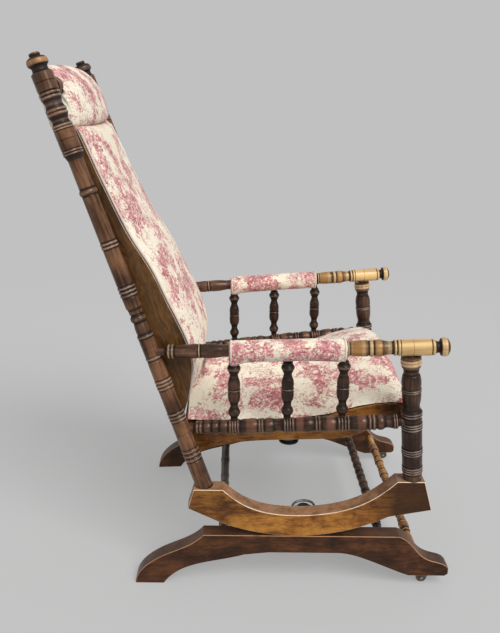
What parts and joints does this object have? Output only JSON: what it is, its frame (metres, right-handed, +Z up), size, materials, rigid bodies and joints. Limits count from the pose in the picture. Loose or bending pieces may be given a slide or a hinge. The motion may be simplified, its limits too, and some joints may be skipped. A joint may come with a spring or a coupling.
{
  "type": "platform rocking chair",
  "caption": "Upholstered platform rocker with ringed turned posts, padded arms and a head roll; the seat rolls on a sprung sled base with front casters.",
  "frame": {"origin": "on the floor, at the middle of the chair's box in plan", "axes": "+X to the sitter's left, +Y towards the back of the chair, +Z up; the sitter faces -Y"},
  "size_m": [0.5894, 0.8066, 1.0569],
  "materials": {
    "wood_dark": "dark walnut varnish, satin, worn on the rings",
    "wood_post": "brown varnish, satin, worn on the rings",
    "wood_base": "reddish brown varnish, light worn edges",
    "wood_rocker": "golden brown varnish darker to the ends, light worn edges",
    "wood_blond": "worn through to blond wood, dark grooves",
    "wood_board": "olive brown varnish, satin",
    "spring_steel": "dull grey steel wire",
    "iron_bracket": "blackened iron plate",
    "caster_metal": "dull worn metal",
    "screw_steel": "plain steel",
    "cover_cloth": "cream cotton printed in raspberry with foliage",
    "webbing": "woven jute"
  },
  "bodies": {
    "base": {"base_rail_right": "wood_base", "base_rail_left": "wood_base", "base_stretcher_front": "wood_blond", "base_stretcher_middle": "wood_dark", "base_stretcher_rear": "wood_dark", "spring_bracket_lower_right": "iron_bracket", "coil_spring_right": "spring_steel", "caster_socket_right": "caster_metal", "spring_bracket_lower_left": "iron_bracket", "coil_spring_left": "spring_steel", "caster_socket_left": "caster_metal", "bracket_screws_lower": "screw_steel"},
    "roll_carrier": {"arm_pins": "screw_steel"},
    "rocking_frame": {"rocker_right": "wood_rocker", "rear_post_right": "wood_post", "front_post_right": "wood_dark", "arm_rail_right": "wood_blond", "side_seat_rail_right": "wood_dark", "arm_spindle_right_1": "wood_dark", "arm_spindle_right_2": "wood_dark", "arm_spindle_right_3": "wood_dark", "arm_pad_right": "cover_cloth", "seat_side_board_right": "wood_board", "back_side_board_right": "wood_board", "spring_bracket_upper_right": "iron_bracket", "rocker_left": "wood_rocker", "rear_post_left": "wood_post", "front_post_left": "wood_dark", "arm_rail_left": "wood_blond", "side_seat_rail_left": "wood_dark", "arm_spindle_left_1": "wood_dark", "arm_spindle_left_2": "wood_dark", "arm_spindle_left_3": "wood_dark", "arm_pad_left": "cover_cloth", "seat_side_board_left": "wood_board", "back_side_board_left": "wood_board", "spring_bracket_upper_left": "iron_bracket", "bracket_screws_upper": "screw_steel", "seat_dowels": "wood_board", "seat_front_rail": "wood_board", "seat_rear_rail": "wood_board", "seat_webbing": "webbing", "seat_cushion": "cover_cloth", "back_dowels": "wood_board", "back_bottom_rail": "wood_board", "back_middle_rail": "wood_board", "back_top_rail": "wood_board", "back_cushion": "cover_cloth", "back_panel": "cover_cloth", "head_rail": "wood_dark", "head_roll": "cover_cloth"},
    "caster_fork_right_body": {"caster_fork_right": "caster_metal", "caster_axle_right": "screw_steel"},
    "caster_wheel_right_body": {"caster_wheel_right": "caster_metal"},
    "caster_fork_left_body": {"caster_fork_left": "caster_metal", "caster_axle_left": "screw_steel"},
    "caster_wheel_left_body": {"caster_wheel_left": "caster_metal"}
  },
  "joints": [
    {"name": "roll_travel", "type": "slide", "parent": "base", "child": "roll_carrier", "axis": [0, 1, 0], "range_m": [-0.0575, 0.0575]},
    {"name": "rock", "type": "hinge", "parent": "roll_carrier", "child": "rocking_frame", "pos_m": [0, -0.082, 0.523], "axis": [-1, 0, 0], "range_deg": [-8, 8], "stiffness_Nm_per_rad": 150, "springref_deg": -6.39, "deforming": ["coil_spring_right", "coil_spring_left"]},
    {"name": "caster_swivel_right", "type": "hinge", "parent": "base", "child": "caster_fork_right_body", "pos_m": [-0.262, -0.364, 0.02], "axis": [0, 0, 1], "continuous": true},
    {"name": "caster_wheel_spin_right", "type": "hinge", "parent": "caster_fork_right_body", "child": "caster_wheel_right_body", "pos_m": [-0.262, -0.352, 0.011], "axis": [1, 0, 0], "continuous": true},
    {"name": "caster_swivel_left", "type": "hinge", "parent": "base", "child": "caster_fork_left_body", "pos_m": [0.262, -0.364, 0.02], "axis": [0, 0, 1], "continuous": true},
    {"name": "caster_wheel_spin_left", "type": "hinge", "parent": "caster_fork_left_body", "child": "caster_wheel_left_body", "pos_m": [0.262, -0.376, 0.011], "axis": [1, 0, 0], "continuous": true}
  ],
  "couplings": [
    {"joint": "roll_travel", "follows": "rock", "m_per_rad": 0.404}
  ]
}
